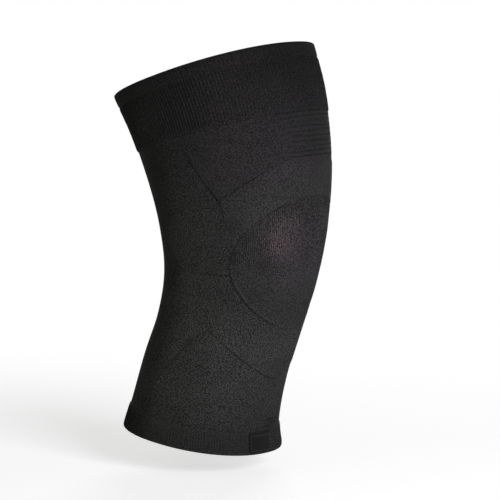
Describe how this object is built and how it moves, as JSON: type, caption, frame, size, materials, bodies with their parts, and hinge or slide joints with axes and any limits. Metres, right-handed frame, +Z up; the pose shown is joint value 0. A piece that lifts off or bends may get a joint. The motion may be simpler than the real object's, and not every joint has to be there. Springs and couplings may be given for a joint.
{
  "type": "knit knee brace",
  "caption": "Pull-on knit compression knee sleeve with turned cuffs, cross-ribbed stretch panel, kneecap panel, firm side bands and a knee bend.",
  "frame": {"origin": "middle of the leg on the knee's bending axis", "axes": "+Z up along the leg, -Y to the front of the knee, -X to the outer side of a right leg"},
  "size_m": [0.1476, 0.1637, 0.3088],
  "materials": {
    "body_knit": "matte charcoal knit",
    "firm_knit": "matte charcoal knit, denser",
    "cuff_knit": "matte black ribbed knit",
    "kneecap_knit": "thin stretched knit",
    "thread": "black thread",
    "label_weave": "smooth woven tape"
  },
  "bodies": {
    "thigh": {"thigh_cuff": "cuff_knit", "thigh_cuff_facing": "cuff_knit", "thigh_cuff_seam": "thread", "front_flex_ribs": "body_knit", "quad_panel_lateral": "body_knit", "quad_panel_medial": "body_knit", "upper_side_panel_lateral": "firm_knit", "upper_side_panel_medial": "firm_knit", "hamstring_panel": "body_knit", "upper_arch": "firm_knit", "patella_panel": "kneecap_knit", "popliteal_panel": "body_knit"},
    "calf": {"lower_arch": "firm_knit", "lower_side_panel_lateral": "firm_knit", "lower_side_panel_medial": "firm_knit", "shin_panel": "body_knit", "calf_back_panel": "body_knit", "calf_cuff": "cuff_knit", "calf_cuff_facing": "cuff_knit", "calf_cuff_seam": "thread", "label": "label_weave", "label_stitching": "thread"}
  },
  "joints": [
    {"name": "knee_bend", "type": "hinge", "parent": "thigh", "child": "calf", "pos_m": [0, 0, 0], "axis": [1, 0, 0], "range_deg": [-30, 70], "stiffness_Nm_per_rad": 0.4, "deforming": ["patella_panel", "popliteal_panel", "lower_side_panel_lateral", "lower_side_panel_medial"]}
  ]
}
